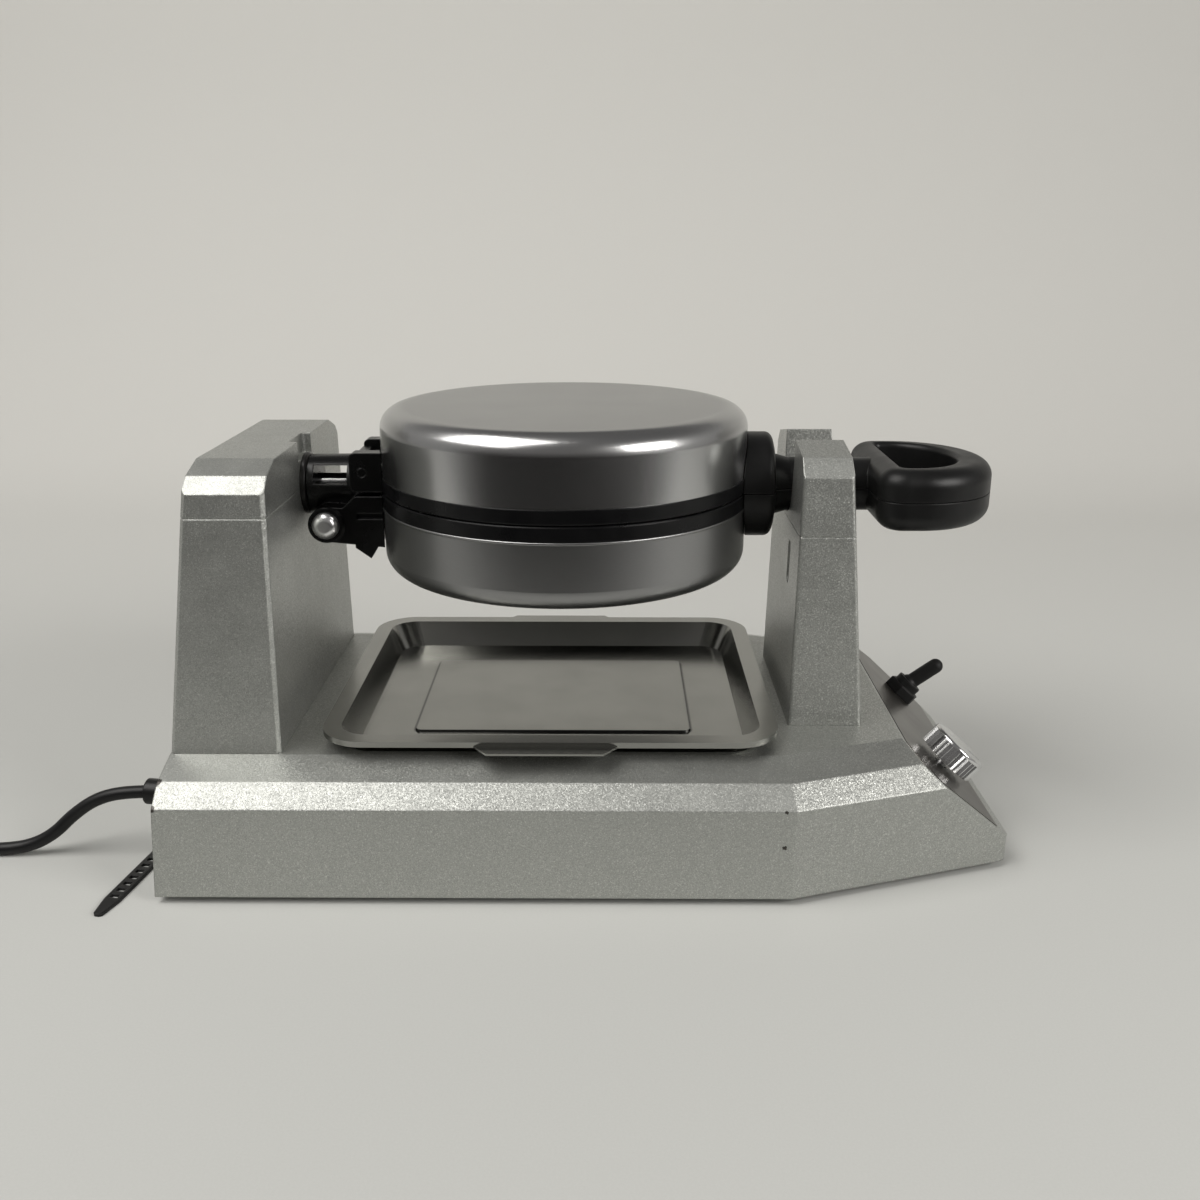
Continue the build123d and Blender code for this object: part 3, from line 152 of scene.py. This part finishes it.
def tint(value, part):
    """Part of a grey or colour."""
    return rgb(tuple(part * c for c in rgb(value)[:3]))


class Nodes:
    """Adds nodes to the tree of a material or of the world."""

    def __init__(self, tree):
        self.tree = tree

    def set(self, socket, value):
        if isinstance(value, bpy.types.NodeSocket):
            self.tree.links.new(value, socket)
        else:
            socket.default_value = value

    def add(self, kind, values=None, **settings):
        node = self.tree.nodes.new("ShaderNode" + kind)
        for key, value in settings.items():
            setattr(node, key, value)
        for socket, value in (values or {}).items():
            self.set(node.inputs[socket], value)
        return node

    def ramp(self, value, low, high, to_low=0.0, to_high=1.0, **settings):
        values = {"Value": value, "From Min": low, "From Max": high, "To Min": to_low,
                  "To Max": to_high}
        return self.add("MapRange", values, **settings).outputs["Result"]

    def calc(self, kind, a, b=0.0):
        return self.add("Math", {0: a, 1: b}, operation=kind).outputs[0]

    def vector(self, kind, a, b):
        return self.add("VectorMath", {0: a, 1: b}, operation=kind).outputs[0]

    def split(self, value):
        return self.add("SeparateXYZ", {0: value}).outputs

    def mix(self, share, a, b):
        return self.add("Mix", {"Factor": share, 6: a, 7: b}, data_type="RGBA").outputs[2]


class Shader(Nodes):
    """One procedural material, built node by node."""

    def __init__(self, name, **plain):
        self.mat = bpy.data.materials.new(name)
        self.mat.use_nodes = True
        super().__init__(self.mat.node_tree)
        self.main = self.tree.nodes["Principled BSDF"]
        for socket, value in plain.items():
            self.main.inputs[socket.replace("_", " ")].default_value = value

    def feed(self, socket, value):
        self.tree.links.new(value, self.main.inputs[socket])

    def place(self):
        """Coordinates on the object itself, in metres."""
        return self.add("TexCoord").outputs["Object"]

    def noise(self, scale, detail=2.0, rough=0.5, at=None):
        at = at or self.place()
        values = {"Vector": at, "Scale": scale, "Detail": detail, "Roughness": rough}
        return self.add("TexNoise", values).outputs["Fac"]

    def rounded(self):
        """Normal that is softened along the edges, as paint or moulding rounds them."""
        return self.add("Bevel", {"Radius": EDGE}, samples=EDGE_SAMPLES).outputs["Normal"]

    def bump(self, height, depth, normal=None):
        values = {"Height": height, "Distance": depth, "Strength": 1.0}
        if normal:
            values["Normal"] = normal
        return self.add("Bump", values).outputs["Normal"]


# Finishes

def flake_paint(name, shade, rough):
    """Silver metallic paint: tilted flakes, a fine orange peel, faint grime, a few chips and
    painted glints.
    """
    s = Shader(name, Metallic=0.82, Coat_Weight=0.2, Coat_Roughness=0.3)
    at = s.place()
    cells = s.add("TexVoronoi", {"Vector": at, "Scale": FLAKES}).outputs["Color"]
    tilt = s.vector("SUBTRACT", cells, (0.5, 0.5, 0.5))
    tilt = s.add("VectorMath", {0: tilt, "Scale": FLAKE_LEAN}, operation="SCALE").outputs[0]
    leaning = s.vector("ADD", s.rounded(), tilt)
    leaning = s.add("VectorMath", {0: leaning}, operation="NORMALIZE").outputs[0]
    peel = s.noise(420.0, 2.0)
    s.feed("Normal", s.bump(peel, 0.00003, leaning))
    grime = s.ramp(s.noise(9.0, 5.0, 0.6), 0.42, 0.72)
    chance = s.add("SeparateColor", {0: cells}).outputs
    fleck = s.mix(chance[1], tint(shade, 0.82), tint(shade, 1.14))
    base = s.mix(s.calc("MULTIPLY", grime, 0.25), fleck, tint(shade, 0.80))
    # painted glints: a share of the flake cells get a base colour far brighter than the paint,
    # standing in for sparkle
    painted_glint = s.calc("MULTIPLY", s.ramp(chance[0], 0.82, 1.0), 0.6)
    paint = s.mix(painted_glint, base, tint(shade, 1.7))
    s.feed("Base Color", s.mix(chip_mask(s, at), paint, rgb(CHIP_TONE)))
    s.feed("Roughness", s.ramp(s.noise(60.0, 3.0), 0.3, 0.7, rough - 0.03, rough + 0.04))
    return s.mat


def chip_mask(s, at):
    """1 inside a chip, 0 on whole paint: each chip has a ragged rim."""
    ragged = s.ramp(s.noise(900.0, 3.0, 0.7, at), 0.3, 0.7, 0.6, 1.5)
    mask = None
    for place, radius in CHIPS:
        away = s.add("VectorMath", {0: at, 1: place}, operation="DISTANCE").outputs["Value"]
        inside = s.calc("LESS_THAN", away, s.calc("MULTIPLY", ragged, radius))
        mask = s.calc("MAXIMUM", mask, inside) if mask else inside
    return mask


def brushed_shell(name, shade, rough):
    """Satin steel brushed round the head's own axis, with painted shade darkening its flat ends."""
    s = Shader(name, Metallic=1.0)
    at = s.vector("SUBTRACT", s.place(), HEAD_MIDDLE)
    parts = s.split(at)
    across = s.add("CombineXYZ", {"X": parts["X"], "Y": parts["Y"]}).outputs[0]
    radius = s.add("VectorMath", {0: across}, operation="LENGTH").outputs["Value"]
    turn = s.calc("ARCTAN2", parts["Y"], parts["X"])
    round_it = s.add("CombineXYZ", {"X": s.calc("MULTIPLY", turn, BRUSH_STRETCH),
                                    "Y": radius, "Z": parts["Z"]}).outputs[0]
    lines = s.noise(BRUSH_LINES, 3.0, 0.6, round_it)
    smear = s.noise(14.0, 4.0, 0.6, at)
    s.feed("Normal", s.bump(lines, 0.000006))
    tone = s.mix(s.ramp(lines, 0.3, 0.7), tint(shade, 0.95), rgb(shade))
    # painted shade: inside FLAT_R the flat ends are mixed towards near black, fading out by RIM_R
    tone = s.mix(s.ramp(radius, FLAT_R, RIM_R, FLAT_PAINTED_SHADE, 0.0), tone, rgb(0.02))
    s.feed("Base Color", s.mix(s.ramp(smear, 0.5, 0.8, 0.0, 0.12), tone, tint(shade, 0.7)))
    s.feed("Roughness", s.ramp(smear, 0.35, 0.7, rough - 0.01, rough + 0.02))
    return s.mat


def plain_steel(name, shade, rough, grain=(1.0, 30.0, 30.0), depth=0.000005):
    """Sheet or turned steel: a directional grain and soft smears."""
    s = Shader(name, Metallic=1.0)
    lines = s.noise(90.0, 3.0, 0.6, s.vector("MULTIPLY", s.place(), grain))
    smear = s.noise(22.0, 4.0, 0.6)
    s.feed("Normal", s.bump(lines, depth))
    s.feed("Base Color", s.mix(s.ramp(smear, 0.4, 0.75), rgb(shade), tint(shade, 0.90)))
    s.feed("Roughness", s.ramp(smear, 0.35, 0.7, rough - 0.02, rough + 0.03))
    return s.mat


def tray_steel(name, shade, rough):
    """Pressed sheet: a grain along it, wiped patches and a painted shade line round the raised
    middle.
    """
    s = Shader(name, Metallic=1.0)
    at = s.place()
    lines = s.noise(90.0, 3.0, 0.6, s.vector("MULTIPLY", at, (1.0, 24.0, 24.0)))
    smear = s.noise(16.0, 4.0, 0.6)
    off = s.vector("SUBTRACT", at, STEP_MIDDLE)
    off = s.add("VectorMath", {0: off}, operation="ABSOLUTE").outputs[0]
    off = s.vector("SUBTRACT", off, STEP_HALF)
    past = s.split(off)
    corner = s.vector("MAXIMUM", off, (0.0, 0.0, 0.0))
    outside = s.add("VectorMath", {0: corner}, operation="LENGTH").outputs["Value"]
    inside = s.calc("MINIMUM", s.calc("MAXIMUM", past["X"], past["Y"]), 0.0)
    away = s.calc("ABSOLUTE", s.calc("SUBTRACT", s.calc("ADD", outside, inside), STEP_ROUND))
    # painted shade: a dark line along the edge of the raised middle, where the pressed step creases
    crease_shade = s.ramp(away, STEP_SHADE_WIDTH, STEP_SHADE_WIDTH / 3)
    metal = s.mix(s.ramp(smear, 0.4, 0.75), rgb(shade), tint(shade, 0.88))
    s.feed("Base Color", s.mix(s.calc("MULTIPLY", crease_shade, 0.8), metal, rgb(0.04)))
    s.feed("Roughness", s.ramp(smear, 0.35, 0.7, rough - 0.02, rough + 0.04))
    s.feed("Normal", s.bump(lines, 0.000005))
    return s.mat


def moulded(name, shade, rough, grain, depth, gloss=0.3):
    """Moulded black plastic, rubber or enamel: fine grain, faint dust."""
    s = Shader(name, Specular_IOR_Level=gloss)
    dust = s.ramp(s.noise(30.0, 5.0, 0.65), 0.45, 0.75)
    lighter = tuple(c + 0.004 for c in shade)
    s.feed("Base Color", s.mix(dust, rgb(shade), rgb(lighter)))
    s.feed("Roughness", s.ramp(s.noise(45.0, 4.0), 0.3, 0.7, rough - 0.05, rough + 0.07))
    s.feed("Normal", s.bump(s.noise(grain, 2.0), depth, s.rounded()))
    return s.mat


def coated_casting(name):
    """Coated casting: pebbled and a little oily."""
    s = Shader(name, Metallic=0.35)
    s.feed("Normal", s.bump(s.noise(650.0, 4.0, 0.7), 0.00012))
    s.feed("Base Color", s.mix(s.noise(35.0, 4.0), rgb(0.035), rgb((0.075, 0.07, 0.065))))
    s.feed("Roughness", s.ramp(s.noise(50.0, 3.0), 0.3, 0.7, 0.38, 0.55))
    return s.mat


def fibre(name, shade):
    """Matted fibre pad."""
    s = Shader(name, Roughness=0.95)
    s.feed("Base Color", s.mix(s.noise(180.0, 6.0, 0.8), rgb(shade), tint(shade, 0.8)))
    s.feed("Normal", s.bump(s.noise(900.0, 6.0, 0.8), 0.0002))
    return s.mat


# Each finish: what makes it, its shade and roughness, then the grain and its depth
FINISHES = {
    "silver_paint": (flake_paint, (0.41, 0.418, 0.396), 0.42),
    "shell_steel": (brushed_shell, 0.50, 0.23),
    # painted shade: the lower shell's copy of shell_steel is darker; it is also a little rougher
    "lower_shell_shaded_steel": (brushed_shell, 0.31, 0.34),
    "tray_steel": (tray_steel, (0.33, 0.33, 0.31), 0.22),
    "panel_steel": (plain_steel, (0.15, 0.14, 0.128), 0.33, (24.0, 1.0, 24.0)),
    "black_phenolic": (moulded, (0.005, 0.005, 0.005), 0.38, 420.0, 0.00003),
    "black_enamel": (moulded, (0.003, 0.003, 0.003), 0.24, 260.0, 0.00002),
    "black_ring": (moulded, (0.003, 0.003, 0.0034), 0.30, 600.0, 0.00002, 0.22),
    "cast_plate": (coated_casting,),
    "bright_chrome": (plain_steel, 0.74, 0.17, (1.0, 1.0, 9.0), 0.000002),
    "bolt_steel": (plain_steel, 0.86, 0.30, (1.0, 1.0, 9.0), 0.000002),
    "zinc_screw": (plain_steel, (0.60, 0.60, 0.57), 0.30),
    "plain_steel": (plain_steel, 0.42, 0.38),
    "bush_brass": (plain_steel, (0.62, 0.45, 0.20), 0.28),
    "black_rubber": (moulded, (0.005, 0.005, 0.005), 0.50, 700.0, 0.00004),
    "cord_rubber": (moulded, (0.006, 0.006, 0.0065), 0.40, 900.0, 0.00002),
    "strap_black": (moulded, (0.007, 0.007, 0.007), 0.38, 800.0, 0.00002),
    "white_fibre": (fibre, (0.78, 0.75, 0.68)),
    "black_bakelite": (moulded, (0.010, 0.0095, 0.009), 0.30, 300.0, 0.00002),
    "blade_brass": (plain_steel, (0.75, 0.62, 0.36), 0.22),
}


# Free cord

def cord_points():
    """The route's points and the coil's: half turns in, one that climbs, half turns out, a tail."""
    x, y, z = CORD_LEAD[-1]
    x -= CORD_D
    points = list(CORD_LEAD) + [(x, y, z)]
    middle = y - COIL_R
    radius = COIL_R
    side = 1
    for k in range(2 * COIL_HALF_TURNS):
        step = -COIL_PITCH / 2
        climb = 0.0
        if k == COIL_HALF_TURNS:
            climb = COIL_PITCH
            step = 0.0
        if k > COIL_HALF_TURNS:
            step = COIL_PITCH / 2
        mean = radius + step / 2
        centre_y = middle + side * (radius - mean)
        for i in range(COIL_POINTS):
            turn = math.pi * (i + 0.5) / COIL_POINTS
            rise = climb * (1 - math.cos(turn)) / 2
            reach = mean / math.cos(math.pi / 2 / COIL_POINTS)
            points.append((x - side * reach * math.sin(turn),
                           centre_y + side * reach * math.cos(turn), z + rise))
        radius += step
        z += climb
        side = -side
    end_y = middle + side * radius
    points += [(x, end_y, z), (x - COIL_TAIL / 2, end_y, z), (x - COIL_TAIL, end_y, z)]
    return points


def spline_length(curve):
    """Length of the cord's centreline."""
    bevel = curve.data.bevel_depth
    curve.data.bevel_depth = 0.0
    bpy.context.view_layer.update()
    mesh = bpy.data.meshes.new_from_object(
        curve.evaluated_get(bpy.context.evaluated_depsgraph_get()))
    total = sum((mesh.vertices[e.vertices[0]].co - mesh.vertices[e.vertices[1]].co).length
                for e in mesh.edges)
    curve.data.bevel_depth = bevel
    bpy.data.meshes.remove(mesh)
    return total


def make_cord(finish):
    data = bpy.data.curves.new("cord", "CURVE")
    data.dimensions = "3D"
    spline = data.splines.new("NURBS")
    points = cord_points()
    spline.points.add(len(points) - 1)
    for point, at in zip(spline.points, points):
        point.co = (*at, 1.0)
    spline.order_u = 3
    spline.use_endpoint_u = True
    spline.resolution_u = 8
    data.bevel_depth = CORD_D / 2
    data.bevel_resolution = 6
    data.use_fill_caps = True
    cord = bpy.data.objects.new("cord", data)
    scene.collection.objects.link(cord)
    data.materials.append(finish)
    length = spline_length(cord)
    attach(cord, "base")
    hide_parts("cord_lead", "cord_coil")


# Surroundings

def make_stage():
    """Pale table top that curves up into a wall behind the object, with painted shade darkening the
    table's front.
    """
    cloth = Shader("pale_backdrop", Roughness=0.85)
    weave = cloth.noise(900.0, 2.0)
    # painted shade: the cloth is darker near the front and lighter from FAR_FROM on and up the wall
    back = cloth.ramp(cloth.split(cloth.place())["Y"], 0.0, FAR_FROM)
    near, far = (cloth.mix(weave, rgb(a), rgb(b)) for a, b in (NEAR_SHADED_TONES, FAR_TONES))
    cloth.feed("Base Color", cloth.mix(back, near, far))
    profile = [(TABLE_FRONT, 0.0), (WALL_Y - WALL_BEND, 0.0)]
    for k in range(1, BEND_STEPS + 1):
        turn = math.radians(90 * k / BEND_STEPS)
        profile.append((WALL_Y - WALL_BEND + WALL_BEND * math.sin(turn),
                        WALL_BEND - WALL_BEND * math.cos(turn)))
    profile.append((WALL_Y, WALL_TOP))
    corners = [(x, y, z) for y, z in profile for x in (-BACKDROP, BACKDROP)]
    faces = [(k, k + 1, k + 3, k + 2) for k in range(0, len(corners) - 2, 2)]
    mesh = bpy.data.meshes.new("backdrop")
    mesh.from_pydata(corners, [], faces)
    mesh.shade_smooth()
    mesh.materials.append(cloth.mat)
    backdrop = bpy.data.objects.new("backdrop", mesh)
    scene.collection.objects.link(backdrop)


def make_lamps():
    for name, (place, size, power) in LAMPS.items():
        data = bpy.data.lights.new(name, "AREA")
        data.size = size
        data.energy = power
        data.color = LAMP_TINT
        lamp = bpy.data.objects.new(name, data)
        lamp.location = place
        lamp.rotation_euler = (AIM - Vector(place)).to_track_quat("-Z", "Y").to_euler()
        scene.collection.objects.link(lamp)


def make_world():
    """Soft room light, dimmer in front and on top, and dark below the table's front edge."""
    world = bpy.data.worlds.new("room")
    world.use_nodes = True
    w = Nodes(world.node_tree)
    way = w.split(w.add("TexCoord").outputs["Generated"])
    front = w.ramp(way["Y"], *TO_FRONT, interpolation_type="SMOOTHSTEP")
    high = w.ramp(way["Z"], *TO_HIGH, interpolation_type="SMOOTHSTEP")
    below = w.ramp(way["Z"], *TO_DARK, interpolation_type="SMOOTHSTEP")
    around = w.mix(front, rgb(ROOM), rgb(ROOM_FRONT))
    around = w.mix(high, around, rgb(ROOM_HIGH))
    colour = w.mix(w.calc("MULTIPLY", front, below), around, rgb(ROOM_DARK))
    light = w.tree.nodes["Background"]
    w.set(light.inputs["Color"], colour)
    w.set(light.inputs["Strength"], WORLD_STRENGTH)
    scene.world = world
    scene.view_settings.view_transform = "Standard"


make_camera()
materials = {name: make(name, *values) for name, (make, *values) in FINISHES.items()}
make_cord(materials["cord_rubber"])
slots = {entry["node"]: entry["material_slot"] for entry in frame["record"]["subparts"]}
for node, obj in nodes.items():
    obj.data.materials.clear()
    obj.data.materials.append(materials[LOOK.get(node, slots[node])])
make_stage()
make_lamps()
make_world()
